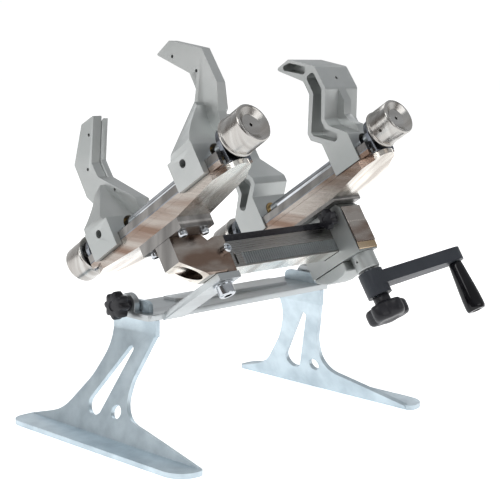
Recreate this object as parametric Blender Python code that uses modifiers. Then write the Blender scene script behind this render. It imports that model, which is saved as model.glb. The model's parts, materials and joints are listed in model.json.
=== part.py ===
"""Manual alignment jig for plastic pipes: two self-centring V vices on a tilted guide beam.

The left vice is fixed to a head block. The right vice rides on a carriage that a crank, pinion
and rack move along the beam. A base bar with two splayed legs carries the head block.

World frame: +X along the pipe, +Z up, -Y towards the crank. The origin is on the floor, midway
between the legs. The vices, the beam and the carriage share a tilted frame, turned about X:
a point there is (x, w, z), where w runs from the middle plane of the vices to the crank's side
and z runs square to the beam. All lengths below are in millimetres and are scaled by MM.
"""

import math

import bmesh
import bpy
from mathutils import Matrix, Vector

MM = 0.001
GAP = 0.3                  # clearance between neighbouring solids

# ---- whole object
TILT = math.radians(33.5)  # turn of the vices and the beam about X
PIVOT_Z = 131.0            # height of the tilted frame's zero level, at y = 0
BEAM_REACH = 98.0          # from there to the middle plane of the vices, along w

# ---- legs and base bar
LEG_FOOT_X = 154.0         # leg plate at the floor, middle of its thickness
LEG_FOLD_X = 119.5         # leg plate at its upper fold
LEG_FOLD_Z = 106.0
LEG_T = 5.0
LEG_LUG_HALF = 21.5
LEG_LUG_TOP = 136.5
CLAMP_Z = 133.0            # axis of the star knobs
FLANGE_OUT_X = 183.0
FLANGE_T = 5.0
FOOT_FRONT_Y = -131.0
FOOT_BACK_Y = 120.0
BAR_BOTTOM = 120.0
BAR_TOP = 126.0
BAR_HALF_Y = 31.0
BAR_END_X = 131.0
EAR_T = 6.5
EAR_R = 10.5
TONGUE_TOP = -20.6         # z in the tilted frame
TONGUE_T = 6.4
TONGUE_X0 = -112.0
TONGUE_X1 = -84.0

# ---- beam and head block (tilted frame)
BEAM_HALF_W = 11.0
BEAM_BOTTOM_Z = -17.5
BEAM_TOP_Z = 9.2
BEAM_END_X = 103.0
RAIL_TOP_Z = 16.8
HEAD_LEFT_X = -151.5
HEAD_RIGHT_X = -86.0
HEAD_TOP_Z = 20.1
RACK_LOW_Z = -15.2
RACK_HIGH_Z = -3.4
RACK_MODULE = 1.0
PINION_TEETH = 24
BOLT_X = -98.0
BOLT_W = -1.0

# ---- vices
SPINDLE_Z = 63.9
SPINDLE_R = 5.8
LEFT_VICE_X = -130.5
RIGHT_VICE_X = 72.0
VICE_HALF_W = 21.0
VICE_HALF_L = 112.0
VICE_DECK_Z = 43.7
RAIL_IN = 15.6             # guide rails of a vice, from its spindle
RAIL_OUT = 20.0
RAIL_UP_Z = 57.0
END_PLATE_W = 105.5
BLOCK_W = 68.4             # middle of a jaw's slide block at rest
BLOCK_HALF = 18.5
KNOB_R = 18.6
KNOB_IN = 111.3
KNOB_OUT = 138.9

# ---- carriage and crank
CARR_X0 = 61.5
CARR_X1 = 91.0
CARR_HALF_W = 35.0
CARR_TOP_Z = 24.7
CARR_BOTTOM_Z = -28.5
CRANK_X = 79.2
CRANK_W = BEAM_HALF_W - 1.0 + RACK_MODULE * PINION_TEETH / 2.0
CRANK_R = 96.0
CRANK_ANGLE = math.radians(22.3)
ARM_TOP_Z = -52.5
ARM_HUB_Z = -74.5
ARM_TIP_Z = -66.0
LOCK_W = 22.3              # axis of the carriage's lock knob, along X
LOCK_Z = 13.9


# =============================================================== helpers
def clear_scene():
    for item in list(bpy.data.objects):
        bpy.data.objects.remove(item, do_unlink=True)


def collection(name):
    found = bpy.data.collections.new(name)
    bpy.context.scene.collection.children.link(found)
    return found


clear_scene()
PARTS = collection("pipe_alignment_jig")
CUTTERS = collection("cutters")


def material(name, colour, roughness, metallic):
    made = bpy.data.materials.new(name)
    made.use_nodes = True
    shader = made.node_tree.nodes["Principled BSDF"]
    shader.inputs["Base Color"].default_value = (*colour, 1.0)
    shader.inputs["Roughness"].default_value = roughness
    shader.inputs["Metallic"].default_value = metallic
    made.diffuse_color = (*colour, 1.0)
    return made


SATIN = material("satin_aluminium", (0.74, 0.76, 0.75), 0.45, 0.8)
POLISHED = material("polished_aluminium", (0.62, 0.57, 0.53), 0.22, 1.0)
MILLED = material("milled_aluminium", (0.66, 0.66, 0.64), 0.35, 1.0)
ZINC = material("zinc_plate", (0.66, 0.75, 0.79), 0.40, 0.7)
STEEL = material("grey_steel", (0.58, 0.60, 0.60), 0.40, 0.9)
CHROME = material("chrome", (0.80, 0.82, 0.84), 0.08, 1.0)
BLACK = material("black_plastic", (0.02, 0.02, 0.025), 0.45, 0.0)
SLATE = material("slate_paint", (0.06, 0.065, 0.075), 0.50, 0.0)
GLOSS = material("gloss_black", (0.012, 0.012, 0.015), 0.15, 0.0)
RAIL_BLACK = material("dark_rail", (0.06, 0.06, 0.07), 0.20, 0.8)
BRONZE = material("bronze", (0.60, 0.42, 0.20), 0.35, 1.0)


def empty(name, matrix):
    made = bpy.data.objects.new(name, None)
    PARTS.objects.link(made)
    made.matrix_world = matrix
    return made


UP_G = Vector((0.0, -math.cos(TILT), math.sin(TILT)))
TILT_ORIGIN = Vector((0.0, 0.0, PIVOT_Z)) * MM + UP_G * BEAM_REACH * MM
TILT_MATRIX = Matrix.Translation(TILT_ORIGIN) @ Matrix.Rotation(-TILT, 4, "X")
WORLD = Matrix.Identity(4)
tilted_frame = empty("tilted_frame", TILT_MATRIX)


def tilted(x, w, z):
    """A point of the tilted frame, in metres, in that frame's own axes."""
    return Vector((x, -w, z)) * MM


def place(obj, frame, origin, group=None):
    """Puts an object, whose mesh is drawn about origin, into the world."""
    (group or PARTS).objects.link(obj)
    if frame is TILT_MATRIX and (group or PARTS) is PARTS:
        obj.parent = tilted_frame
        obj.matrix_parent_inverse = Matrix.Identity(4)
        obj.matrix_basis = Matrix.Translation(origin)
    else:
        obj.matrix_world = frame @ Matrix.Translation(origin)
    if (group or PARTS) is CUTTERS:
        obj.hide_render = True
        obj.display_type = "WIRE"
    return obj


def mesh_object(name, bm, mat, frame, origin, group=None, smooth=False):
    bmesh.ops.recalc_face_normals(bm, faces=bm.faces)
    mesh = bpy.data.meshes.new(name)
    bm.to_mesh(mesh)
    bm.free()
    if mat:
        mesh.materials.append(mat)
    if smooth:
        mesh.shade_smooth()
        mesh.set_sharp_from_angle(angle=math.radians(35))
    return place(bpy.data.objects.new(name, mesh), frame, origin, group)


def box(name, low, high, mat=None, frame=TILT_MATRIX, group=None):
    """An upright box in (x, w, z) of the tilted frame, or (x, y, z) of the world."""
    if frame is TILT_MATRIX:
        a, b = tilted(*low), tilted(*high)
    else:
        a, b = Vector(low) * MM, Vector(high) * MM
    centre = (a + b) / 2.0
    size = Vector([abs(b[i] - a[i]) for i in range(3)])
    bm = bmesh.new()
    bmesh.ops.create_cube(bm, size=1.0)
    bmesh.ops.scale(bm, vec=size, verts=bm.verts)
    return mesh_object(name, bm, mat, frame, centre, group)


def rod(name, start, end, radius, mat=None, frame=TILT_MATRIX, group=None, sides=32, end_radius=None):
    """A round bar or cone between two points, with its origin on its axis."""
    a, b = (tilted(*start), tilted(*end)) if frame is TILT_MATRIX else (Vector(start) * MM, Vector(end) * MM)
    axis = b - a
    bm = bmesh.new()
    bmesh.ops.create_cone(bm, cap_ends=True, segments=sides, radius1=radius * MM,
                          radius2=(radius if end_radius is None else end_radius) * MM, depth=axis.length)
    turn = Vector((0, 0, 1)).rotation_difference(axis.normalized()).to_matrix()
    bmesh.ops.rotate(bm, matrix=turn, verts=bm.verts)
    return mesh_object(name, bm, mat, frame, (a + b) / 2.0, group, smooth=True)


def rounded(points, steps=5):
    """Turns corner points (a, b) or (a, b, radius) into an outline with round corners."""
    outline = []
    count = len(points)
    for i, point in enumerate(points):
        here = Vector(point[:2])
        radius = point[2] if len(point) > 2 else 0.0
        if radius <= 0.0:
            outline.append(here)
            continue
        before = (Vector(points[i - 1][:2]) - here).normalized()
        after = (Vector(points[(i + 1) % count][:2]) - here).normalized()
        half = before.angle(after) / 2.0
        reach = radius / math.tan(half)
        centre = here + (before + after).normalized() * radius / math.sin(half)
        first = here + before * reach - centre
        last = here + after * reach - centre
        turn = math.atan2(first.x * last.y - first.y * last.x, first.dot(last))
        for k in range(steps + 1):
            spin = Matrix.Rotation(turn * k / steps, 2)
            outline.append(centre + spin @ first)
    return outline


def circle(a, b, radius, steps=24, start=0.0, stop=2.0 * math.pi):
    full = abs(stop - start) > 6.28
    count = steps if full else steps + 1
    return [Vector((a + radius * math.cos(start + (stop - start) * k / steps),
                    b + radius * math.sin(start + (stop - start) * k / steps))) for k in range(count)]


# How a flat outline (a, b) with its thickness along c lies in a frame.
ACROSS_X = Matrix(((0, 0, -1), (-1, 0, 0), (0, 1, 0)))      # tilted frame: a = w, b = z, thick along x
ACROSS_W = Matrix(((1, 0, 0), (0, 0, -1), (0, 1, 0)))       # tilted frame: a = x, b = z, thick along w
ACROSS_Z = Matrix(((1, 0, 0), (0, -1, 0), (0, 0, -1)))      # tilted frame: a = x, b = w, thick along z
FLAT = Matrix.Identity(3)                                    # world: a = x, b = y, thick along z


def plate(name, outlines, lie, middle, thickness, mat=None, frame=TILT_MATRIX, group=None, smooth=False):
    """A flat plate: a filled 2D curve with holes, extruded, welded and laid in its frame."""
    curve = bpy.data.curves.new(name + "_outline", "CURVE")
    curve.dimensions = "2D"
    curve.fill_mode = "BOTH"
    curve.extrude = thickness * MM / 2.0
    for outline in outlines:
        spline = curve.splines.new("POLY")
        spline.points.add(len(outline) - 1)
        for slot, point in zip(spline.points, outline):
            slot.co = (point[0] * MM, point[1] * MM, 0.0, 1.0)
        spline.use_cyclic_u = True
    holder = bpy.data.objects.new(name + "_outline", curve)
    bpy.context.scene.collection.objects.link(holder)
    bpy.context.view_layer.update()
    depsgraph = bpy.context.evaluated_depsgraph_get()
    mesh = bpy.data.meshes.new_from_object(holder.evaluated_get(depsgraph))
    bpy.data.objects.remove(holder, do_unlink=True)
    bm = bmesh.new()
    bm.from_mesh(mesh)
    bpy.data.meshes.remove(mesh)
    bmesh.ops.remove_doubles(bm, verts=bm.verts, dist=1e-6)
    bmesh.ops.transform(bm, matrix=lie.to_4x4(), verts=bm.verts)
    return mesh_object(name, bm, mat, frame, middle, group, smooth)


def turned(name, profile, base, axis, mat, frame=TILT_MATRIX, steps=40, group=None):
    """A turned piece: (radius, height) pairs from the top of its outer side down, about an axis."""
    mesh = bpy.data.meshes.new(name)
    points = [(r * MM, 0.0, h * MM) for r, h in profile]
    mesh.from_pydata(points, [(i, i + 1) for i in range(len(points) - 1)], [])
    if mat:
        mesh.materials.append(mat)
    obj = bpy.data.objects.new(name, mesh)
    place(obj, frame, base, group)
    direction = (tilted(*axis) if frame is TILT_MATRIX else Vector(axis)).normalized()
    turn = Vector((0, 0, 1)).rotation_difference(direction).to_matrix().to_4x4()
    if obj.parent:
        obj.matrix_basis = Matrix.Translation(base) @ turn
    else:
        obj.matrix_world = frame @ Matrix.Translation(base) @ turn
    screw = obj.modifiers.new("turn", "SCREW")
    screw.axis = "Z"
    screw.steps = steps
    screw.render_steps = steps
    screw.use_merge_vertices = True
    screw.merge_threshold = 0.00001
    screw.use_smooth_shade = True
    return obj


def combine(target, tool, how):
    boolean = target.modifiers.new(how.lower(), "BOOLEAN")
    boolean.operation = how
    boolean.solver = "EXACT"
    boolean.object = tool
    if tool.name not in CUTTERS.objects:
        CUTTERS.objects.link(tool)
        PARTS.objects.unlink(tool)
    tool.hide_render = True
    tool.display_type = "WIRE"
    return target


def cut(target, *tools):
    for tool in tools:
        combine(target, tool, "DIFFERENCE")
    return target


def join(target, *tools):
    for tool in tools:
        combine(target, tool, "UNION")
    return target


# =============================================================== legs
UPRIGHT = Matrix(((0, 0, 1), (1, 0, 0), (0, 1, 0)))          # world: a = y, b = z, thick along x


def leg(name, side):
    """A leg bent from one plate: foot flange, splayed web with a slot, upright tab and lug."""
    lean = math.atan2(LEG_FOOT_X - LEG_FOLD_X, LEG_FOLD_Z)
    stretch = 1.0 / math.cos(lean)
    front, back = FOOT_FRONT_Y + 7.0, FOOT_BACK_Y - 3.0
    web = [(front, 0.5), (back, 0.5), (back, 5, 2), (74, 17, 45), (42, 56, 70),
           (25, 92, 50), (30, LEG_FOLD_Z + 1), (-31, LEG_FOLD_Z + 1), (-14, 60, 30), (-13, 27, 24),
           (-70, 16, 60), (front, 5, 2)]
    web = rounded([(p[0], p[1] * stretch, *p[2:]) for p in web])
    slot = circle(28.0, 31.0 * stretch, 11.0, 10, math.radians(-140), math.radians(28))
    slot += circle(-2.0, 88.0 * stretch, 3.5, 6, math.radians(28), math.radians(200))
    hole = circle(-2.5, 29.0 * stretch, 7.0, 20)
    lie = Matrix.Rotation(-side * lean, 3, "Y") @ UPRIGHT
    body = plate(name, [web, slot, hole], lie, Vector((side * LEG_FOOT_X, 0.0, 0.0)) * MM, LEG_T, ZINC, WORLD)
    out, inner = side * FLANGE_OUT_X, side * (LEG_FOOT_X - LEG_T / 2.0)
    ends = [(inner, FOOT_FRONT_Y, 7), (out, FOOT_FRONT_Y, 22), (out, FOOT_BACK_Y, 16), (inner, FOOT_BACK_Y, 3)]
    flange = plate(name + "_flange", [rounded(ends)], FLAT, Vector((0, 0, FLANGE_T / 2.0)) * MM, FLANGE_T,
                   None, WORLD, CUTTERS)
    shoulder = BAR_BOTTOM - GAP
    lug = rounded([(30.0, LEG_FOLD_Z - 2.5), (30.0, shoulder), (LEG_LUG_HALF, shoulder),
                   (LEG_LUG_HALF, LEG_LUG_TOP, 6), (-LEG_LUG_HALF, LEG_LUG_TOP, 6),
                   (-LEG_LUG_HALF, shoulder), (-31.0, shoulder), (-31.0, LEG_FOLD_Z - 2.5)])
    tab = plate(name + "_tab", [lug], UPRIGHT, Vector((side * LEG_FOLD_X, 0, 0)) * MM, LEG_T, None, WORLD, CUTTERS)
    floor = box(name + "_below", (-200, -160, -40), (200, 160, 0), None, WORLD, CUTTERS)
    return cut(join(body, flange, tab), floor)


def base_bar():
    """The base bar: a flat plate slotted for the lugs, with clamp ears, a rib and a bent tongue."""
    half = [(-BAR_END_X, -BAR_HALF_Y, 4), (BAR_END_X, -BAR_HALF_Y, 4), (BAR_END_X, BAR_HALF_Y, 6),
            (-BAR_END_X, BAR_HALF_Y, 6)]
    slots = []
    for side in (-1, 1):
        low = side * LEG_FOLD_X - LEG_T / 2.0 - GAP
        high = side * LEG_FOLD_X + LEG_T / 2.0 + GAP
        reach = LEG_LUG_HALF + GAP
        slots.append([Vector(p) for p in ((low, -reach), (high, -reach), (high, reach), (low, reach))])
    middle = Vector((0, 0, (BAR_BOTTOM + BAR_TOP) / 2.0)) * MM
    bar = plate("base_bar", [rounded(half, 3)] + slots, FLAT, middle, BAR_TOP - BAR_BOTTOM, STEEL, WORLD)
    rib = [(-64, 4), (-46, -4), (92, -4), (92, 22), (-64, 22)]
    top = plate("bar_rib", [[Vector(p) for p in rib]], FLAT, Vector((0, 0, BAR_TOP + 1.0)) * MM, 4.0,
                None, WORLD, CUTTERS)
    join(bar, top)
    for side in (-1, 1):
        outline = [Vector((-EAR_R, BAR_BOTTOM + 1)), Vector((EAR_R, BAR_BOTTOM + 1))]
        outline += circle(0.0, CLAMP_Z, EAR_R, 14, 0.0, math.pi)
        ear = plate("ear_%d" % (side + 1), [outline, circle(0.0, CLAMP_Z, 3.4, 16)], UPRIGHT,
                    Vector((side * (BAR_END_X - EAR_T / 2.0), 0, 0)) * MM, EAR_T, None, WORLD, CUTTERS)
        join(bar, ear)
    tongue = [Vector(p) for p in ((TONGUE_X0, -79), (TONGUE_X0, BEAM_HALF_W), (TONGUE_X1, BEAM_HALF_W),
                                  (TONGUE_X1, -79))]
    bent = plate("bar_tongue", [tongue, circle(BOLT_X, BOLT_W, 5.4, 20)], ACROSS_Z,
                 tilted(0, 0, TONGUE_TOP - TONGUE_T / 2.0), TONGUE_T, None, TILT_MATRIX, CUTTERS)
    return join(bar, bent)


def star_outline(lobes, outer, inner, steps):
    points = []
    for k in range(lobes * steps):
        angle = 2.0 * math.pi * k / (lobes * steps)
        wave = 0.5 + 0.5 * math.cos(lobes * angle)
        radius = inner + (outer - inner) * wave ** 0.6
        points.append(Vector((radius * math.cos(angle), radius * math.sin(angle))))
    return points


def clamp_knob(name, side):
    """A star knob with a boss, moulded on a steel stud that presses on the leg's lug."""
    base = side * (BAR_END_X + 1.0)
    knob = plate(name, [star_outline(8, 13.7, 11.4, 5)], UPRIGHT, Vector((base + side * 12.0, 0, CLAMP_Z)) * MM,
                 12.0, BLACK, WORLD, smooth=True)
    boss = rod(name + "_boss", (base, 0, CLAMP_Z), (base + side * 12.0, 0, CLAMP_Z), 7.0, None, WORLD, CUTTERS, 20)
    socket = rod(name + "_socket", (base - side * 0.5, 0, CLAMP_Z), (base + side * 13.0, 0, CLAMP_Z),
                 3.3, None, WORLD, CUTTERS, 16)
    cut(join(knob, boss), socket)
    lug_face = side * (LEG_FOLD_X + LEG_T / 2.0 + 0.4)
    rod(name + "_stud", (lug_face, 0, CLAMP_Z), (base + side * 12.5, 0, CLAMP_Z), 3.0, STEEL, WORLD, sides=16)
    return knob


# =============================================================== head and beam
def head_block():
    """The head block under the left vice, with a slanted lower corner bored along the beam."""
    low = TONGUE_TOP + GAP
    side = [(HEAD_LEFT_X, -4.3), (-120.5, low), (HEAD_RIGHT_X, low), (HEAD_RIGHT_X, 16.0), (-99.0, 16.0),
            (-107.0, 13.0), (-113.0, HEAD_TOP_Z), (HEAD_LEFT_X, HEAD_TOP_Z)]
    block = plate("head_block", [[Vector(p) for p in side]], ACROSS_W, tilted(0, 0, 0), 2 * BEAM_HALF_W, POLISHED)
    bore = rod("head_bore", (-160, 0, -11.9), (-108.0, 0, -11.9), 7.6, None, group=CUTTERS, sides=32)
    bolt = rod("head_bolt_hole", (BOLT_X, BOLT_W, -30), (BOLT_X, BOLT_W, -2), 5.3, None, group=CUTTERS, sides=20)
    wedge = [Vector(p) for p in ((5.0, -30), (18, -30), (18, -3.0))]
    chamfer = plate("head_chamfer", [wedge], ACROSS_X, tilted(-122, 0, 0), 50.0, None, group=CUTTERS)
    return cut(block, bore, bolt, chamfer)


def bracket_screw():
    """The cap screw, with its washer, that holds the head block on the tongue."""
    top = TONGUE_TOP - TONGUE_T - GAP
    return turned("bracket_screw", [(0, 22), (5, 22), (5, 0), (10, 0), (10, -2), (8, -2), (8, -11.2), (7.2, -12),
                                    (4.4, -12), (4.4, -6.5), (0, -6.5)],
                  tilted(BOLT_X, BOLT_W, top), (0, 0, 1), CHROME, steps=24)


def guide_beam():
    beam = box("guide_beam", (HEAD_RIGHT_X + GAP, -BEAM_HALF_W, BEAM_BOTTOM_Z),
               (BEAM_END_X, BEAM_HALF_W, BEAM_TOP_Z), MILLED)
    groove = box("rack_groove", (-72, 6.5, RACK_LOW_Z - GAP), (BEAM_END_X + 5, 20, RACK_HIGH_Z + GAP), None,
                 group=CUTTERS)
    slot = plate("scale_slot", [rounded([(-82.3, -14.8, 1.2), (-79.7, -14.8, 1.2), (-79.7, -3.2, 1.2),
                                         (-82.3, -3.2, 1.2)], 3)],
                 ACROSS_W, tilted(0, BEAM_HALF_W, 0), 8.0, None, group=CUTTERS)
    return cut(beam, groove, slot)


def rack():
    """A toothed rack let into the front of the beam; its teeth face the pinion."""
    pitch = math.pi * RACK_MODULE
    tip, root, back = BEAM_HALF_W, BEAM_HALF_W - 2.1 * RACK_MODULE, 6.8
    start = CRANK_X - 48 * pitch
    outline = [Vector((start, back))]
    for tooth in range(55):
        left = start + tooth * pitch
        outline += [Vector((left, root)), Vector((left + 0.28 * pitch - 0.35, root)),
                    Vector((left + 0.28 * pitch + 0.35, tip)), Vector((left + 0.72 * pitch - 0.35, tip)),
                    Vector((left + 0.72 * pitch + 0.35, root))]
    end = start + 55 * pitch
    outline += [Vector((end, root)), Vector((end, back))]
    return plate("rack", [outline], ACROSS_Z, tilted(0, 0, (RACK_LOW_Z + RACK_HIGH_Z) / 2.0),
                 RACK_HIGH_Z - RACK_LOW_Z, STEEL)


def pinion():
    """The pinion on the crank shaft; a tooth gap faces the rack's tooth at rest."""
    radius, pitch = RACK_MODULE * PINION_TEETH / 2.0, 2.0 * math.pi / PINION_TEETH
    outline = []
    for k in range(PINION_TEETH):
        mid = -math.pi / 2.0 + (k + 0.0) * pitch
        for turn, r in ((-0.29, radius - 1.15), (-0.11, radius + 0.85), (0.11, radius + 0.85), (0.29, radius - 1.15)):
            angle = mid + turn * pitch
            outline.append(Vector((r * math.cos(angle), r * math.sin(angle))))
    middle = tilted(CRANK_X, CRANK_W, (RACK_LOW_Z + RACK_HIGH_Z) / 2.0)
    return plate("pinion", [outline, circle(0, 0, 5.3, 20)], ACROSS_Z, middle, 11.0, STEEL)


def beam_fittings():
    box("beam_rail", (-85.6, -9.5, BEAM_TOP_Z + GAP), (BEAM_END_X, 9.5, RAIL_TOP_Z), RAIL_BLACK)
    stop = [Vector(p) for p in ((-BEAM_HALF_W, BEAM_BOTTOM_Z), (BEAM_HALF_W, BEAM_BOTTOM_Z),
                                (BEAM_HALF_W, RAIL_TOP_Z), (-BEAM_HALF_W, RAIL_TOP_Z))]
    plate("beam_end_stop", [stop], ACROSS_X, tilted(BEAM_END_X + GAP + 2.0, 0, 0), 4.0, STEEL)


# =============================================================== vices
def vice_body(name, x, pad_bottom, pad_half, belly):
    """A vice's bed: round-nosed, tapered towards its ends, with a square pad in the middle."""
    nose = VICE_HALF_W - 7.0
    shoulder = 87.0
    outline = [Vector((x + VICE_HALF_W, -shoulder)), Vector((x + VICE_HALF_W, shoulder))]
    outline += circle(x, VICE_HALF_L - nose, nose, 10, math.radians(12), math.radians(168))
    outline += [Vector((x - VICE_HALF_W, shoulder)), Vector((x - VICE_HALF_W, -shoulder))]
    outline += circle(x, -(VICE_HALF_L - nose), nose, 10, math.radians(192), math.radians(348))
    bed = plate(name, [outline], ACROSS_Z, tilted(0, 0, (VICE_DECK_Z + belly) / 2.0), VICE_DECK_Z - belly, POLISHED)
    for side in (-1, 1):
        wedge = [Vector(p) for p in ((side * (pad_half + 1), belly - 8), (side * (pad_half + 1), belly),
                                     (side * 124, VICE_DECK_Z - 3.0), (side * 124, belly - 8))]
        taper = plate("%s_taper_%d" % (name, side + 1), [wedge], ACROSS_X, tilted(x, 0, 0), 70.0, None, group=CUTTERS)
        cut(bed, taper)
    pad = box(name + "_pad", (x - VICE_HALF_W, -pad_half, pad_bottom), (x + VICE_HALF_W, pad_half, VICE_DECK_Z - 4),
              None, group=CUTTERS)
    return join(bed, pad)


def vice_rails(name, x):
    """Two rails that guide the jaws' slide blocks, one on each side of the spindle."""
    for label, side in (("front", -1), ("back", 1)):
        low, high = sorted((x + side * RAIL_IN, x + side * RAIL_OUT))
        reach = END_PLATE_W - 2.5 - GAP
        box("%s_rail_%s" % (name, label), (low, -reach, VICE_DECK_Z + GAP), (high, reach, RAIL_UP_Z), STEEL)


def vice_ends(name, x):
    """End plates that carry the spindle and close the rails."""
    for label, side in (("upper", 1), ("lower", -1)):
        foot = VICE_DECK_Z + GAP
        outline = [Vector((-13.5, foot)), Vector((13.5, foot))]
        outline += circle(0, SPINDLE_Z, 15.2, 16, math.radians(-12), math.radians(192))
        points = [[Vector((p.x, p.y - SPINDLE_Z)) for p in outline], circle(0, 0, SPINDLE_R + GAP, 24)]
        plate("%s_end_plate_%s" % (name, label), points, ACROSS_W, tilted(x, side * END_PLATE_W, SPINDLE_Z),
              5.0, STEEL)


def vice_spindle(name, x):
    """The spindle, with opposite threads at its two ends, and a turned knob on each end."""
    rod(name + "_spindle", (x, 3.0 - KNOB_OUT, SPINDLE_Z), (x, KNOB_OUT - 3.0, SPINDLE_Z), SPINDLE_R, CHROME, sides=24)
    length = KNOB_OUT - KNOB_IN
    bore = SPINDLE_R + GAP
    for label, side in (("upper", 1), ("lower", -1)):
        knob = turned("%s_knob_%s" % (name, label),
                      [(bore, length - 4.3), (10.4, length - 4.3), (15.4, length), (17.4, length),
                       (KNOB_R, length - 1.2), (KNOB_R, 4.0), (17.8, 3.2), (19.2, 2.4), (19.2, 0.5), (18.7, 0),
                       (10.4, 0), (10.4, -2.4), (bore, -2.4), (bore, length - 4.3)],
                      tilted(x, side * KNOB_IN, SPINDLE_Z), (0, side, 0), CHROME, steps=40)
        hole = rod("%s_hole_%s" % (name, label), (x, side * (KNOB_IN + 12.2), SPINDLE_Z - 25),
                   (x, side * (KNOB_IN + 12.2), SPINDLE_Z - 9), 1.6, None, group=CUTTERS, sides=12)
        cut(knob, hole)


def jaw_nut(name, x, side):
    bore = SPINDLE_R + GAP
    turned(name, [(8.6, 26.0), (8.6, 0.0), (bore, 0.0), (bore, 26.0), (8.6, 26.0)],
           tilted(x, side * BLOCK_W - 13.0, SPINDLE_Z), (0, 1, 0), BRONZE, steps=24)


def mirrored(points, side):
    return [Vector((side * p[0], p[1])) for p in points]


def slide_block_tools(name, x, side):
    """Cutters that make a slide block fit its rails, the bed and the nut."""
    w = side * BLOCK_W
    reach = BLOCK_HALF + 30
    tools = []
    for label, where in (("front", -1), ("back", 1)):
        low, high = sorted((x + where * (RAIL_IN - GAP), x + where * (RAIL_OUT + GAP)))
        tools.append(box("%s_way_%s" % (name, label), (low, w - reach, VICE_DECK_Z - 12), (high, w + reach, RAIL_UP_Z + GAP),
                         None, group=CUTTERS))
    tools.append(box(name + "_deck", (x - VICE_HALF_W - GAP, w - reach, VICE_DECK_Z - 20),
                     (x + VICE_HALF_W + 10, w + reach, VICE_DECK_Z + GAP), None, group=CUTTERS))
    tools.append(rod(name + "_bore", (x, w - reach, SPINDLE_Z), (x, w + reach, SPINDLE_Z), 8.6 + GAP, None,
                     group=CUTTERS, sides=24))
    return tools


def left_jaw(name, side):
    """A thin V jaw on a cranked slide block: the plate stands off towards the other vice."""
    front_x, back_x = -118.6, -108.2
    edge = rounded([(54.2, 184.5, 1), (75.5, 186.3, 1), (107.5, 158, 1), (108.2, 122, 1), (96, 100, 1),
                    (87, 74), (87, 60), (53.2, 60), (53.2, 73), (43.8, 77), (44.1, 88.4, 1), (82, 131, 1),
                    (82.7, 147, 2)], 2)
    jaw = plate(name, [mirrored(edge, side)], ACROSS_X, tilted((front_x + back_x) / 2.0, 0, 0),
                back_x - front_x, SATIN)
    block = box(name + "_block", (-157.6, side * (BLOCK_W - BLOCK_HALF), VICE_DECK_Z + 1.0),
                (-104.0, side * (BLOCK_W + BLOCK_HALF), 73.2), None, group=CUTTERS)
    gusset = [Vector((86.8, 70)), Vector((52, 70)), Vector((57, 77)), Vector((78, 120))]
    gusset += circle(123.5, 97.0, 41.8, 10, math.radians(152), math.radians(212))[1:-1]
    web = plate(name + "_web", [mirrored(gusset, side)], ACROSS_X, tilted(-136.2, 0, 0), 41.6, None, group=CUTTERS)
    slope = [Vector(p) for p in ((-158.2, 77), (-118.4, 125.6), (-161, 137))]
    shave = plate(name + "_shave", [slope], ACROSS_W, tilted(0, side * 71, 0), 86.0, None, group=CUTTERS)
    cut(web, shave)
    join(jaw, web, block)
    cut(jaw, *slide_block_tools(name, LEFT_VICE_X, side))
    hole = rod(name + "_cross_hole", (-161, side * 67.9, 64.6), (-142, side * 67.9, 64.6), 4.0, None,
               group=CUTTERS, sides=20)
    return cut(jaw, hole)


def left_jaw_grip(name, side):
    """The grip strip behind the V of a left jaw."""
    edge = [(59.9, 179.6), (79.8, 177.7), (101.7, 155.8), (102.1, 125.4), (92.5, 103.5), (47.5, 80.8),
            (44.7, 86.5), (79.8, 128.7), (80.3, 148.2), (55.1, 181.5)]
    return plate(name, [mirrored(edge, side)], ACROSS_X, tilted(-104.3, 0, 0), 7.2, SATIN)


def right_jaw(name, side):
    """A wide V jaw, cast in one with its slide block, with pockets in its front face and a rib behind."""
    front_x, back_x = 50.0, 100.0
    edge = rounded([(41.8, 175.8, 2), (62.1, 175.6, 3), (87.9, 151.5, 4), (89, 125.4, 4), (72.2, 100.2, 4),
                    (73.2, 92.2, 4), (90.3, 74.1, 4), (90.3, VICE_DECK_Z + 1), (56.1, VICE_DECK_Z + 1),
                    (56.1, 80.8, 2), (45.1, 91.2, 3), (45.1, 98.8, 3), (67.5, 131.1, 4), (67.5, 146.3, 4)], 3)
    jaw = plate(name, [mirrored(edge, side)], ACROSS_X, tilted((front_x + back_x) / 2.0, 0, 0),
                back_x - front_x, SATIN)
    upper = rounded([(49.4, 170.6, 2.4), (53.4, 173.6, 2.4), (61.5, 171.8, 2.5), (77.9, 156.8, 3), (72.2, 151.1, 3)], 3)
    lower = rounded([(72.7, 148.2, 3.5), (83.6, 148.2, 3.5), (84.1, 127.3, 4), (67.5, 100.7, 4), (67.9, 91.2, 4),
                     (79.9, 78.9, 3.6), (73.4, 73.2, 3.6), (50.4, 93.6, 2.5), (50.4, 97.9, 2.5), (72.7, 129.2, 4)], 3)
    for label, outline in (("upper", upper), ("lower", lower)):
        pocket = plate("%s_pocket_%s" % (name, label), [mirrored(outline, side)], ACROSS_X,
                       tilted(front_x, 0, 0), 34.0, None, group=CUTTERS)
        cut(jaw, pocket)
    web = [Vector(p) for p in ((80.0, 121.0), (88.6, 125.0), (89.0, 111.5), (81.8, 99.7), (84.8, 89.8), (90.0, 83.9),
                               (90.0, 72.0), (80.0, 72.0), (66.0, 90.0), (66.0, 102.0))]
    rib = plate(name + "_rib", [mirrored(web, side)], ACROSS_X, tilted(75.5, 0, 0), 11.0, None, group=CUTTERS)
    join(jaw, rib)
    return cut(jaw, *slide_block_tools(name, RIGHT_VICE_X, side))


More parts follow.
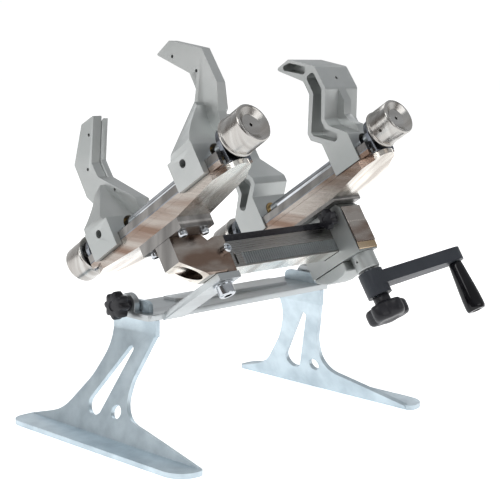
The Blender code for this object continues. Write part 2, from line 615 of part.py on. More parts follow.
# =============================================================== carriage
def carriage_body():
    """The carriage: a block around the beam, with the pinion's chamber on its front side."""
    outer = [Vector(p) for p in ((-CARR_HALF_W, CARR_TOP_Z), (-CARR_HALF_W, CARR_BOTTOM_Z),
                                 (CARR_HALF_W, CARR_BOTTOM_Z), (CARR_HALF_W, 20.0), (31.0, CARR_TOP_Z))]
    slack = 0.4
    window = [Vector(p) for p in ((-BEAM_HALF_W - slack, BEAM_BOTTOM_Z - slack),
                                  (BEAM_HALF_W + slack, BEAM_BOTTOM_Z - slack),
                                  (BEAM_HALF_W + slack, RAIL_TOP_Z + slack),
                                  (-BEAM_HALF_W - slack, RAIL_TOP_Z + slack))]
    body = plate("carriage_body", [outer, window], ACROSS_X, tilted((CARR_X0 + CARR_X1) / 2.0, 0, 0),
                 CARR_X1 - CARR_X0, SATIN)
    cavity = rod("gear_cavity", (CRANK_X, CRANK_W, RACK_LOW_Z - 0.6), (CRANK_X, CRANK_W, RACK_HIGH_Z + 0.6), 13.4,
                 None, group=CUTTERS, sides=32)
    way = rod("shaft_way", (CRANK_X, CRANK_W, -40.0), (CRANK_X, CRANK_W, 4.0), 5.3, None, group=CUTTERS, sides=20)
    lock = rod("lock_way", (CARR_X0 - 2, LOCK_W, LOCK_Z), (CARR_X0 + 12, LOCK_W, LOCK_Z), 3.3, None, group=CUTTERS,
               sides=16)
    return cut(body, cavity, way, lock)


def carriage_fittings():
    cover = [Vector(p) for p in ((CARR_X0 + 0.5, -27.5), (CARR_X1 - 0.5, -27.5), (CARR_X1 - 0.5, 20), (CARR_X0 + 0.5, 20))]
    plate("gear_cover", [cover], ACROSS_W, tilted(0, CARR_HALF_W + GAP + 0.8, 0), 1.6, POLISHED)
    arc = [Vector((-CARR_HALF_W, CARR_BOTTOM_Z - GAP)), Vector((-CARR_HALF_W, -31.5))]
    arc += [Vector((-28, -37)), Vector((-19, -41)), Vector((-9, -42.5)), Vector((2, -41.5)), Vector((9, -38.5)),
            Vector((9, CARR_BOTTOM_Z - GAP))]
    plate("carriage_keeper", [arc], ACROSS_X, tilted((CARR_X0 + CARR_X1) / 2.0, 0, 0), CARR_X1 - CARR_X0 - 2.0, SATIN)
    turned("shaft_bush", [(12.3, 17.5), (12.3, 1.2), (11.3, 0), (5.3, 0), (5.3, 17.5), (12.3, 17.5)],
           tilted(CRANK_X, CRANK_W, CARR_BOTTOM_Z - GAP - 17.5), (0, 0, 1), SATIN, steps=32)
    rod("lock_stud", (50.0, LOCK_W, LOCK_Z), (CARR_X0 + 11, LOCK_W, LOCK_Z), 3.0, STEEL, sides=16)
    lock = plate("lock_knob", [star_outline(6, 10.4, 7.6, 6)], ACROSS_X, tilted(52.5, LOCK_W, LOCK_Z), 10.0,
                 BLACK, smooth=True)
    boss = rod("lock_boss", (54, LOCK_W, LOCK_Z), (CARR_X0 - 0.5, LOCK_W, LOCK_Z), 5.5, None, group=CUTTERS, sides=20)
    socket = rod("lock_socket", (49.6, LOCK_W, LOCK_Z), (70, LOCK_W, LOCK_Z), 3.3, None, group=CUTTERS, sides=16)
    cut(join(lock, boss), socket)


# =============================================================== crank
def crank():
    """Pinion shaft, arm, clamp knob and revolving grip; the shaft lies along -z of the tilted frame."""
    hub = Vector((CRANK_X, CRANK_W))
    along = Vector((math.cos(CRANK_ANGLE), math.sin(CRANK_ANGLE)))
    tip = along * CRANK_R
    rod("pinion_shaft", (hub.x, hub.y, -3.2), (hub.x, hub.y, -84.0), 5.0, STEEL, sides=20)
    bar = circle(0, 0, 12.8, 12, CRANK_ANGLE + math.pi / 2.0, CRANK_ANGLE + 1.5 * math.pi)
    bar += circle(tip.x, tip.y, 10.5, 12, CRANK_ANGLE - math.pi / 2.0, CRANK_ANGLE + math.pi / 2.0)
    arm = plate("crank_arm", [bar], ACROSS_Z, tilted(hub.x, hub.y, (ARM_TOP_Z + ARM_TIP_Z) / 2.0),
                ARM_TOP_Z - ARM_TIP_Z, SLATE, smooth=True)
    drum = rod("crank_hub", (hub.x, hub.y, -48.5), (hub.x, hub.y, ARM_HUB_Z), 12.8, None, group=CUTTERS, sides=24)
    bore = rod("crank_bore", (hub.x, hub.y, -40), (hub.x, hub.y, -90), 5.3, None, group=CUTTERS, sides=20)
    end = hub + tip
    pin_hole = rod("crank_pin_hole", (end.x, end.y, -60), (end.x, end.y, -75), 3.3, None, group=CUTTERS, sides=16)
    cut(join(arm, drum), bore, pin_hole)
    knob = plate("crank_knob", [star_outline(5, 22.5, 17.0, 8)], ACROSS_Z, tilted(hub.x, hub.y, -92.5), 17.0,
                 BLACK, smooth=True)
    neck = rod("crank_knob_neck", (hub.x, hub.y, ARM_HUB_Z - 0.5), (hub.x, hub.y, -86.0), 8.5, None, group=CUTTERS,
               sides=24)
    socket = rod("crank_knob_socket", (hub.x, hub.y, -70), (hub.x, hub.y, -85.0), 5.3, None, group=CUTTERS, sides=20)
    cut(join(knob, neck), socket)
    rod("grip_pin", (end.x, end.y, -60.3), (end.x, end.y, -100.0), 3.0, STEEL, sides=16)
    turned("crank_grip", [(3.3, 0), (6.6, 0), (7.6, -3), (9.4, -22), (10.2, -42), (10.2, -50.5), (9.2, -53),
                          (6, -54), (0, -54), (0, -35), (3.3, -35), (3.3, 0)],
           tilted(end.x, end.y, ARM_TIP_Z - 0.5), (0, 0, 1), GLOSS, steps=28)


def small_screws():
    """Cap screws that show: under the left vice's pad and on the head block's front."""
    socket_head = [(0, 5.0), (4.3, 5.0), (4.3, 0.6), (3.8, 0), (2.2, 0), (2.2, 2.4), (0, 2.4)]
    for label, x, w in (("a", -144.0, 21.5), ("b", -117.0, 21.5), ("c", -144.0, -21.5), ("d", -117.0, -21.5)):
        turned("vice_screw_" + label, socket_head, tilted(x, w, 20.4 - GAP - 5.0), (0, 0, 1), CHROME, steps=20)
    turned("head_screw", [(0, 3.6), (2.4, 3.6), (2.4, 6.0), (4.0, 6.0), (4.5, 5.5), (4.5, 0), (0, 0)],
           tilted(-91.5, BEAM_HALF_W + GAP, 1.2), (0, 1, 0), CHROME, steps=20)


# =============================================================== the jig
leg("left_leg", -1)
leg("right_leg", 1)
base_bar()
clamp_knob("left_clamp_knob", -1)
clamp_knob("right_clamp_knob", 1)
bracket_screw()
head_block()
guide_beam()
rack()
beam_fittings()
pinion()
for prefix, vice_x, pad_z, pad_half_w, belly_z in (("left_vice", LEFT_VICE_X, 20.4, 29.5, 31.3),
                                                   ("right_vice", RIGHT_VICE_X, 25.0, 40.0, 28.5)):
    vice_body(prefix + "_body", vice_x, pad_z, pad_half_w, belly_z)
    vice_rails(prefix, vice_x)
    vice_ends(prefix, vice_x)
    vice_spindle(prefix, vice_x)
for jaw_label, jaw_side in (("upper", 1), ("lower", -1)):
    left_jaw("left_jaw_" + jaw_label, jaw_side)
    left_jaw_grip("left_grip_" + jaw_label, jaw_side)
    right_jaw("right_jaw_" + jaw_label, jaw_side)
    jaw_nut("left_nut_" + jaw_label, LEFT_VICE_X, jaw_side)
    jaw_nut("right_nut_" + jaw_label, RIGHT_VICE_X, jaw_side)
carriage_body()
carriage_fittings()
crank()
small_screws()
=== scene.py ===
"""Finished look of the pipe alignment jig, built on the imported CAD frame.

Most places are in the tilted frame of the beam, in millimetres: x along the beam, w up the slope
of the vices and z square to both. T() turns such a place into world metres, and G and UP are the
ways that w and z go.
"""
import json
import math

import bmesh
import bpy
from mathutils import Matrix, Vector


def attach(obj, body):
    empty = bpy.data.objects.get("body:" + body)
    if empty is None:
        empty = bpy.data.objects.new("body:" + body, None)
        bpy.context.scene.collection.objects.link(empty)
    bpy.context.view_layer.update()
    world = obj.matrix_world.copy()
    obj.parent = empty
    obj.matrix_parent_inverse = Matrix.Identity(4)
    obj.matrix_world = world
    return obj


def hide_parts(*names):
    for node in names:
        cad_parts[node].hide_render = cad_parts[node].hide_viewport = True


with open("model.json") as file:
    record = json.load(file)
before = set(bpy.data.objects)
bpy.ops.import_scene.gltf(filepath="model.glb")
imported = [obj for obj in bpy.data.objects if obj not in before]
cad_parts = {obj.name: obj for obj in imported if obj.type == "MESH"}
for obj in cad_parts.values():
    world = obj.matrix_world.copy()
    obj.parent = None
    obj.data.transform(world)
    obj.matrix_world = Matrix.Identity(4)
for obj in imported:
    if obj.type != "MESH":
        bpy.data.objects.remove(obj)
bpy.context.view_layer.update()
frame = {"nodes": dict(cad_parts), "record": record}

MM = 0.001

# ---- the tilted frame
TILT = math.radians(33.5)
X = Vector((1.0, 0.0, 0.0))
G = Vector((0.0, -math.cos(TILT), math.sin(TILT)))
UP = Vector((0.0, math.sin(TILT), math.cos(TILT)))
ORIGIN = Vector((0.0, 0.0, 0.131)) + G * 0.098

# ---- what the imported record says
NODES = frame["nodes"]
BODY = {node: body for body, nodes in frame["record"]["behaviour"]["bodies"].items() for node in nodes}
SLOT = {row["node"]: row["material_slot"] for row in frame["record"]["subparts"]}

# ---- sizes shared by several pieces
WAYS = (("upper", 1), ("lower", -1))        # the two mirrored ends of a vice
SPINDLE_Z, SPINDLE_R = 63.9, 5.8
VICE_X = {"left": -130.5, "right": 72.0}
PAD_HALF_W = {"left": 29.5, "right": 40.0}  # half the pad under a vice bed, along w
BELLY_Z = {"left": 31.3, "right": 28.5}     # lower edge of the bed's polished flanks
SHADOW_LINE_Z = (48.8, 49.8)                      # dark band painted across a guide rail: a painted shadow line
BED_TIP_W = 96.0                            # where a bed's rounded ends begin
KNOB_IN, KNOB_OUT, KNOB_R = 111.3, 138.9, 18.6
SPINDLE_REACH = KNOB_OUT - 9.6
CLAMP_X, CLAMP_Z = 132.0, 133.0             # hub faces of the leg knobs, in the world
COVER_X = (62.0, 90.5)
TAN_REFLECTION_Z = -20.0                          # the cover plate's foot strip, painted tan as a reflection, lies below
CRANK = (79.2, 22.0)
CRANK_R, CRANK_ANGLE = 96.0, math.radians(22.3)
TIP = (CRANK[0] + CRANK_R * math.cos(CRANK_ANGLE), CRANK[1] + CRANK_R * math.sin(CRANK_ANGLE))

# ---- camera and light
CAMERA_AT, LENS = (-0.9372, -0.9263, 0.380), 93.88
YAW, PITCH, ROLL = math.radians(43.53), math.radians(8.96), math.radians(1.09)
MIDDLE = Vector((0.0, -0.05, 0.2))          # where the lamps point


def T(x, w, z):
    """A point of the tilted frame (x, w, z in millimetres) in the world, in metres."""
    return Vector((x * MM, 0.0, 0.0)) + ORIGIN + G * w * MM + UP * z * MM


# =============================================================== materials
def stretched_coordinates(mat, scale):
    """Object coordinates stretched by scale along the world's axes, and only then turned."""
    tree = mat.node_tree
    coords = tree.nodes.new("ShaderNodeTexCoord")
    mapping = tree.nodes.new("ShaderNodeMapping")
    mapping.inputs["Rotation"].default_value = (TILT, 0.0, 0.0)
    mapping.inputs["Scale"].default_value = scale
    tree.links.new(coords.outputs["Object"], mapping.inputs["Vector"])
    return mapping.outputs["Vector"]


def surface(name, colour, second, roughness, metallic, grain=(300, 300, 300), patch=(14, 14, 14),
            spread=0.10, bump=0.02, contrast=(0.35, 0.65)):
    """A surface whose colour drifts between two tones, with grain in its roughness and relief.

    grain and patch are noise cycles per metre along the world's x, y and z: a small number draws
    the noise out into tool marks that way. spread is how far the roughness strays.
    """
    mat = bpy.data.materials.new(name)
    mat.use_nodes = True
    tree = mat.node_tree
    shader = tree.nodes["Principled BSDF"]
    shader.inputs["Metallic"].default_value = metallic

    tone = tree.nodes.new("ShaderNodeTexNoise")
    tone.inputs["Scale"].default_value = 1.0
    tone.inputs["Detail"].default_value = 3.0
    tree.links.new(stretched_coordinates(mat, patch), tone.inputs["Vector"])
    ramp = tree.nodes.new("ShaderNodeValToRGB")
    ramp.color_ramp.elements[0].position, ramp.color_ramp.elements[1].position = contrast
    ramp.color_ramp.elements[0].color = (*colour, 1.0)
    ramp.color_ramp.elements[1].color = (*second, 1.0)
    tree.links.new(tone.outputs["Fac"], ramp.inputs["Fac"])
    tree.links.new(ramp.outputs["Color"], shader.inputs["Base Color"])

    fine = tree.nodes.new("ShaderNodeTexNoise")
    fine.inputs["Scale"].default_value = 1.0
    fine.inputs["Detail"].default_value = 4.0
    tree.links.new(stretched_coordinates(mat, grain), fine.inputs["Vector"])
    rough = tree.nodes.new("ShaderNodeMapRange")
    rough.inputs["To Min"].default_value = max(0.03, roughness - spread)
    rough.inputs["To Max"].default_value = roughness + spread
    tree.links.new(fine.outputs["Fac"], rough.inputs["Value"])
    tree.links.new(rough.outputs["Result"], shader.inputs["Roughness"])
    relief = tree.nodes.new("ShaderNodeBump")
    relief.inputs["Strength"].default_value = bump
    relief.inputs["Distance"].default_value = 0.0004
    tree.links.new(fine.outputs["Fac"], relief.inputs["Height"])
    tree.links.new(relief.outputs["Normal"], shader.inputs["Normal"])
    return mat


MATERIALS = {
    "satin_aluminium": surface("satin_aluminium", (0.42, 0.44, 0.435), (0.50, 0.515, 0.51), 0.40, 0.82,
                               (900, 900, 900), (16, 16, 16), 0.07, 0.10),
    # polished_aluminium: its dark brown patches are a painted reflection; the streaks along the length stand
    # for tool marks
    "polished_aluminium": surface("polished_aluminium", (0.22, 0.15, 0.115), (0.43, 0.39, 0.355), 0.22, 1.0,
                                  (1500, 12, 1500), (16, 5, 60), 0.10, 0.22, contrast=(0.40, 0.62)),
    "milled_aluminium": surface("milled_aluminium", (0.25, 0.25, 0.245), (0.38, 0.37, 0.355), 0.28, 1.0,
                                (12, 1500, 1500), (5, 60, 60), 0.09, 0.20, contrast=(0.38, 0.64)),
    # dark aluminium: a ground finish on the rails and pads, and painted shade on the head's faces towards -X
    "ground_aluminium_and_shade": surface("ground_aluminium_and_shade", (0.14, 0.135, 0.13), (0.28, 0.27, 0.26), 0.30, 1.0,
                                (1500, 1500, 14), (60, 60, 5), 0.09, 0.22),
    # pale tone with streaks: a painted sheen and reflection for undersides and rounded ends
    "painted_sheen_aluminium": surface("painted_sheen_aluminium", (0.80, 0.78, 0.73), (0.50, 0.45, 0.40), 0.20, 1.0,
                                (1500, 12, 1500), (80, 5, 20), 0.08, 0.15, contrast=(0.42, 0.62)),
    "turned_aluminium": surface("turned_aluminium", (0.52, 0.51, 0.49), (0.38, 0.36, 0.34), 0.22, 1.0,
                                (40, 1700, 40), (14, 160, 14), 0.10, 0.16),
    "zinc_plate": surface("zinc_plate", (0.47, 0.56, 0.62), (0.62, 0.72, 0.78), 0.36, 0.75,
                          (650, 650, 650), (45, 45, 45), 0.12, 0.30),
    "grey_steel": surface("grey_steel", (0.40, 0.42, 0.43), (0.50, 0.53, 0.54), 0.34, 0.90,
                          (14, 800, 800), (10, 40, 40), 0.09, 0.12),
    # dark steel for the bearing plates, also used for the painted shadow line across the guide rails
    "dark_steel_and_shadow": surface("dark_steel_and_shadow", (0.12, 0.13, 0.15), (0.30, 0.32, 0.35), 0.20, 1.0,
                          (300, 300, 300), (60, 60, 60), 0.07, 0.05),
    "chrome": surface("chrome", (0.60, 0.63, 0.66), (0.48, 0.50, 0.53), 0.10, 1.0,
                      (120, 1200, 120), (50, 50, 50), 0.05, 0.04),
    "black_plastic": surface("black_plastic", (0.008, 0.008, 0.011), (0.015, 0.015, 0.019), 0.34, 0.0,
                             (1600, 1600, 1600), (60, 60, 60), 0.10, 0.30),
    "slate_paint": surface("slate_paint", (0.022, 0.026, 0.034), (0.033, 0.038, 0.047), 0.42, 0.0,
                           (1500, 1500, 1500), (30, 30, 30), 0.08, 0.40),
    "gloss_black": surface("gloss_black", (0.003, 0.003, 0.004), (0.006, 0.006, 0.008), 0.12, 0.0,
                           (300, 300, 300), (60, 60, 60), 0.04, 0.03),
    "dark_rail": surface("dark_rail", (0.018, 0.018, 0.022), (0.05, 0.05, 0.058), 0.18, 0.6,
                         (10, 1000, 1000), (6, 60, 60), 0.08, 0.10),
    # warm tan tone: a painted reflection on the cover plate's bent foot
    "painted_tan_reflection": surface("painted_tan_reflection", (0.45, 0.33, 0.20), (0.62, 0.50, 0.36), 0.25, 1.0,
                         (14, 1200, 1200), (10, 60, 60), 0.08, 0.10),
    "bronze": surface("bronze", (0.34, 0.23, 0.10), (0.42, 0.29, 0.14), 0.32, 1.0),
}
for name, level in (("gloss_black", 0.30), ("black_plastic", 0.35), ("slate_paint", 0.35)):
    shader = MATERIALS[name].node_tree.nodes["Principled BSDF"]
    shader.inputs["Specular IOR Level"].default_value = level


# =============================================================== making pieces
def finish_piece(obj, body, node, material):
    """Gives a piece its finish, the body it rides on and the CAD node that it stands for."""
    obj.data.materials.clear()
    obj.data.materials.append(MATERIALS[material])
    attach(obj, body)
    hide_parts(node)
    return obj


def shade(mesh, smooth):
    """Smooth faces, with edges sharper than the angle (degrees) kept crisp."""
    mesh.shade_smooth()
    mesh.set_sharp_from_angle(angle=math.radians(smooth))


def add_object(name, bm, smooth=35.0):
    """An object from a bmesh, which is used up."""
    bmesh.ops.recalc_face_normals(bm, faces=bm.faces)
    mesh = bpy.data.meshes.new(name)
    bm.to_mesh(mesh)
    bm.free()
    shade(mesh, smooth)
    obj = bpy.data.objects.new(name, mesh)
    bpy.context.scene.collection.objects.link(obj)
    return obj


def bevel(obj, width, segments=2):
    """Breaks the edges by width millimetres."""
    mod = obj.modifiers.new("edges", "BEVEL")
    mod.width = width * MM
    mod.segments = segments
    mod.limit_method = "ANGLE"
    mod.angle_limit = math.radians(38)
    mod.harden_normals = True
    mod.miter_outer = "MITER_ARC"
    return obj


def cut_out(bm, target, name):
    """Takes a shape out of a piece and throws the cutter away."""
    tool = add_object(name, bm)
    mod = target.modifiers.new(name, "BOOLEAN")
    mod.operation = "DIFFERENCE"
    mod.object = tool
    mod.solver = "EXACT"
    bpy.context.view_layer.update()
    evaluated = target.evaluated_get(bpy.context.evaluated_depsgraph_get())
    mesh = bpy.data.meshes.new_from_object(evaluated)
    target.modifiers.remove(mod)
    target.data = mesh
    bpy.data.objects.remove(tool, do_unlink=True)


def axis_matrix(base, axis):
    """Puts a shape made along +Z at base, with its length along axis."""
    turn = Vector((0, 0, 1)).rotation_difference(Vector(axis).normalized()).to_matrix().to_4x4()
    return Matrix.Translation(base) @ turn


def prism(sides, radius, base, axis, length):
    """A straight prism along an axis, from base; many sides make a round one."""
    bm = bmesh.new()
    bmesh.ops.create_cone(bm, cap_ends=True, segments=sides, radius1=radius * MM, radius2=radius * MM,
                          depth=length * MM)
    bmesh.ops.translate(bm, vec=(0, 0, length * MM / 2.0), verts=bm.verts)
    bmesh.ops.transform(bm, matrix=axis_matrix(base, axis), verts=bm.verts)
    return bm


def drill(obj, name, holes, smooth):
    """Holes (sides, radius, base, axis, length) taken out of a piece."""
    for k, hole in enumerate(holes):
        cut_out(prism(*hole), obj, "%s_hole_%d" % (name, k))
        shade(obj.data, smooth)


def split(mesh, levels):
    """Cuts a mesh's faces at levels of the tilted z, so that each side can take its own material, painted
    shade and sheen included.
    """
    bm = bmesh.new()
    bm.from_mesh(mesh)
    for z in levels:
        bmesh.ops.bisect_plane(bm, geom=bm.verts[:] + bm.edges[:] + bm.faces[:], plane_co=T(0, 0, z),
                               plane_no=UP)
    bm.to_mesh(mesh)
    bm.free()


def copy_of(node, name, width, material=None, holes=(), segments=2, merge=True):
    """The CAD node's own solid, its edges broken by width and drilled at need.

    merge makes each flat face whole again, so that no bevel follows a seam inside it.
    """
    bm = bmesh.new()
    bm.from_mesh(NODES[node].data)
    bmesh.ops.remove_doubles(bm, verts=bm.verts, dist=1e-6)
    if merge:
        bmesh.ops.dissolve_limit(bm, angle_limit=math.radians(0.6), verts=bm.verts, edges=bm.edges)
    obj = add_object(name, bm, 30.0)
    drill(obj, name, holes, 30.0)
    if width:
        bevel(obj, width, segments)
    return finish_piece(obj, BODY[node], node, material or SLOT[node])


def ring_of(bm, radii, height, spin=0.0):
    """A ring of vertices round +Z: one radius in millimetres for each step of the turn."""
    ring = []
    for k, radius in enumerate(radii):
        angle = 2 * math.pi * k / len(radii) + spin
        ring.append(bm.verts.new((radius * MM * math.cos(angle), radius * MM * math.sin(angle), height * MM)))
    return ring


def lathe(name, profile, base, axis, body, node, material, steps=96, holes=()):
    """A turned piece: (radius, height) pairs spun about an axis."""
    bm = bmesh.new()
    rings = []
    for radius, height in profile:
        if radius <= 1e-6:
            rings.append([bm.verts.new((0.0, 0.0, height * MM))])
        else:
            rings.append(ring_of(bm, [radius] * steps, height))
    join_rings(bm, rings, steps)
    bmesh.ops.transform(bm, matrix=axis_matrix(base, axis), verts=bm.verts)
    obj = add_object(name, bm, 28.0)
    drill(obj, name, holes, 28.0)
    return finish_piece(obj, body, node, material)


def join_rings(bm, rings, steps):
    """Skins neighbouring rings, where a ring of one vertex is a point, and caps both ends."""
    for a, b in zip(rings, rings[1:]):
        for k in range(steps):
            j = (k + 1) % steps
            if len(a) == 1 and len(b) == 1:
                continue
            if len(a) == 1:
                bm.faces.new((a[0], b[k], b[j]))
            elif len(b) == 1:
                bm.faces.new((a[k], b[0], a[j]))
            else:
                bm.faces.new((a[k], b[k], b[j], a[j]))
    for ring in (rings[0], rings[-1][::-1]):
        if len(ring) > 1:
            bm.faces.new(ring)


def rounded_profile(points, steps=4):
    """Rounds the marked corners (r, h, radius) of a lathe profile."""
    out = []
    for i, p in enumerate(points):
        if len(p) == 2 or i in (0, len(points) - 1):
            out.append((p[0], p[1]))
            continue
        here = Vector(p[:2])
        before = Vector(points[i - 1][:2]) - here
        after = Vector(points[i + 1][:2]) - here
        reach = min(p[2], before.length * 0.49, after.length * 0.49)
        first, last = here + before.normalized() * reach, here + after.normalized() * reach
        for k in range(steps + 1):
            t = k / steps
            q = first * (1 - t) ** 2 + here * 2 * t * (1 - t) + last * t ** 2
            out.append((q.x, q.y))
    return out


def lobed(name, lobes, outer, inner, profile, base, axis, body, node, spin=0.0, sharp=0.8):
    """A lobed hand knob: (share of the lobe, radius factor, height) rows from its hub face to its crown.

    The radius goes from inner between lobes to outer on them, and sharp below 1 makes lobes broad.
    """
    steps = lobes * 16
    bm = bmesh.new()
    rings = []
    for share, factor, height in profile:
        radii = []
        for k in range(steps):
            wave = (0.5 + 0.5 * math.cos(2 * math.pi * lobes * k / steps)) ** sharp
            radii.append((inner + (outer - inner) * wave * share) * factor)
        rings.append(ring_of(bm, radii, height, spin))
    join_rings(bm, rings, steps)
    bmesh.ops.transform(bm, matrix=axis_matrix(base, axis), verts=bm.verts)
    return finish_piece(add_object(name, bm, 40.0), body, node, "black_plastic")


# =============================================================== legs and base
def stand():
    """Legs with their star knobs, and the bar between them, whose bent plate stays unmerged."""
    crown = [(0.0, 0.66, 0.0), (0.0, 0.70, 0.8), (0.0, 0.70, 5.2), (0.8, 0.90, 6.2), (1, 0.985, 7.6),
             (1, 1.0, 9.5), (1, 1.0, 14.0), (1, 0.975, 16.2), (0.9, 0.90, 17.4), (0.4, 0.72, 18.0),
             (0, 0.45, 18.0), (0, 0.40, 17.0)]
    for side, sign in (("left", -1), ("right", 1)):
        copy_of(side + "_leg", side + "_leg_plate", 0.9)
        lobed(side + "_star_knob", 8, 13.7, 10.8, crown, Vector((sign * CLAMP_X, 0, CLAMP_Z)) * MM,
              X * sign, side + "_clamp", side + "_clamp_knob")
        copy_of(side + "_clamp_knob_stud", side + "_stud", 0.3)
    copy_of("base_bar", "base_bar_plate", 0.7, merge=False)


# =============================================================== head and beam
def cap_screw(name, node, base, axis, radius, height, washer=False):
    """A socket-head cap screw seen from its head: a rounded rim and a hexagon socket."""
    socket, depth, washer_r, washer_t = radius * 0.55, radius * 0.6, radius * 1.25, 1.8
    rows = [(0.0, 0.0), (radius, 0.0)]
    if washer:
        rows = [(0.0, 0.0), (washer_r, 0.0), (washer_r, washer_t), (radius, washer_t)]
    rows += [(radius, height - 1.0, 0.8), (radius - 0.9, height), (0.0, height)]
    bottom = base + axis.normalized() * (height - depth) * MM
    lathe(name, rounded_profile(rows), base, axis, "frame", node, "chrome", 48,
          [(6, socket, bottom, axis, radius)])


def dress_faces(obj, rules):
    """Gives the faces that look a given way another material, to paint light or shade by direction:
    (direction, least agreement, material).
    """
    mesh = obj.data
    for direction, least, material in rules:
        mesh.materials.append(MATERIALS[material])
        for face in mesh.polygons:
            if face.normal.dot(direction) > least:
                face.material_index = len(mesh.materials) - 1


def beam_and_head():
    """The square beam with its rack and black way, and the block that holds it, with all its screws."""
    copy_of("rack", "rack_strip", 0.0)
    copy_of("beam_rail", "beam_rail_strip", 0.8)
    copy_of("beam_end_stop", "end_stop_plate", 0.5)
    cap_screw("bracket_cap_screw", "bracket_screw", T(-98, -1, -27.3), -UP, 8.0, 12.0, washer=True)
    corners = (("a", -144.0, 21.5), ("b", -117.0, 21.5), ("c", -144.0, -21.5), ("d", -117.0, -21.5))
    for label, x, w in corners:
        cap_screw("vice_cap_screw_" + label, "vice_screw_" + label, T(x, w, 20.1), -UP, 4.3, 5.0)
    cap_screw("head_cap_screw", "head_screw", T(-91.5, 11.3, 1.2), G, 4.5, 6.0)
    head = copy_of("head_block", "head_block_milled", 0.55)
    # the head's faces towards -X are drawn darker: painted shade
    # the head's underside gets a pale painted sheen
    dress_faces(head, ((-X, 0.9, "ground_aluminium_and_shade"), (-UP, 0.5, "painted_sheen_aluminium")))
    beam = copy_of("guide_beam", "guide_beam_milled", 0.4)
    # the beam's underside gets a pale painted sheen
    dress_faces(beam, ((-UP, 0.7, "painted_sheen_aluminium"),))


# =============================================================== vices
def dress_bed(bed, pad_half, belly):
    """Ground pad sides and an underside with a painted sheen, split from the polished flanks at their lower
    edge.
    """
    mesh = bed.data
    split(mesh, (belly,))
    mesh.materials.append(MATERIALS["ground_aluminium_and_shade"])
    mesh.materials.append(MATERIALS["painted_sheen_aluminium"])
    for face in mesh.polygons:
        spot = (face.center - ORIGIN) / MM
        if abs(spot.dot(G)) < pad_half + 0.5 and spot.dot(UP) < belly + 0.2:
            face.material_index = 1
        # undersides and rounded ends get a pale painted sheen
        elif face.normal.dot(UP) < -0.6 or abs(spot.dot(G)) > BED_TIP_W and face.normal.dot(UP) < 0.5:
            face.material_index = 2


def band_rail(rail):
    """The rail's foot has the bed's polish; a painted shadow line and a paler ground strip lie above it."""
    mesh = rail.data
    split(mesh, SHADOW_LINE_Z)
    for name in ("polished_aluminium", "dark_steel_and_shadow"):
        mesh.materials.append(MATERIALS[name])
    for face in mesh.polygons:
        height = (face.center - ORIGIN).dot(UP) / MM
        # the thin dark band between the two levels is a painted shadow line
        face.material_index = 1 if height < SHADOW_LINE_Z[0] else 2 if height < SHADOW_LINE_Z[1] else 0


def vice(side):
    """Bed, guide rails and bearing plates of one vice, and its spindle with a knob at each end."""
    bed = copy_of(side + "_vice_body", side + "_vice_bed", 1.0, segments=3)
    dress_bed(bed, PAD_HALF_W[side], BELLY_Z[side])
    for label in ("front", "back"):
        rail = copy_of("%s_vice_rail_%s" % (side, label), "%s_guide_rail_%s" % (side, label), 0.5,
                       "ground_aluminium_and_shade")
        band_rail(rail)
    for label, _ in WAYS:
        copy_of("%s_vice_end_plate_%s" % (side, label), "%s_bearing_plate_%s" % (side, label), 0.7,
                "dark_steel_and_shadow")
    reach, nose = SPINDLE_REACH, SPINDLE_REACH - 1.6
    bar = [(0, -reach), (4.6, -reach), (SPINDLE_R, -nose), (SPINDLE_R, nose), (4.6, reach), (0, reach)]
    lathe(side + "_spindle_bar", rounded_profile(bar), T(VICE_X[side], 0, SPINDLE_Z), G, side + "_screw",
          side + "_vice_spindle", "chrome", 64)
    for label, way in WAYS:
        hand_knob(side, label, way)


def hand_knob(side, label, way):
    """A turned knob: collar, flange and groove at its inner end, a dished face with a small bore."""
    x, length = VICE_X[side], KNOB_OUT - KNOB_IN
    profile = [(6.1, -2.4), (10.4, -2.4, 0.3), (10.4, 0, 0.3), (18.6, 0, 0.4), (19.3, 0.6, 0.4),
               (19.3, 2.2, 0.4), (17.9, 3.1, 0.3), (KNOB_R, 4.0, 0.3), (KNOB_R, length - 1.4, 0.5),
               (17.2, length, 0.5), (15.8, length - 0.3, 0.6), (9.8, length - 4.4, 0.8),
               (1.7, length - 4.6, 0.2), (1.7, length - 8.8), (6.1, length - 8.8), (6.1, -2.4)]
    sideways = X if side == "left" else X * -0.93 - UP * 0.37
    hole_at = T(x, way * (KNOB_IN + 12.2), SPINDLE_Z) + sideways * 12 * MM
    lathe("%s_hand_knob_%s" % (side, label), rounded_profile(profile), T(x, way * KNOB_IN, SPINDLE_Z),
          G * way, side + "_screw", "%s_vice_knob_%s" % (side, label), "turned_aluminium", 128,
          [(16, 1.6, hole_at, sideways, 14.0)])


def jaws(label, way):
    """The jaws at one end of both vices: the left one's arm is drilled for its grip strip."""
    arm_holes = [(20, 1.6, T(-125, way * w, z), X, 12.0)
                 for w, z in ((71.3, 172.0), (91.2, 144.4), (66.5, 108.3))]
    copy_of("left_jaw_" + label, "left_v_jaw_" + label, 1.2, holes=arm_holes)
    copy_of("left_grip_" + label, "left_grip_strip_" + label, 0.7)
    copy_of("right_jaw_" + label, "right_v_jaw_" + label, 1.1, segments=3,
            holes=[(16, 1.7, T(75.0, way * 80.5, 137.7), G * way, 14.0)])


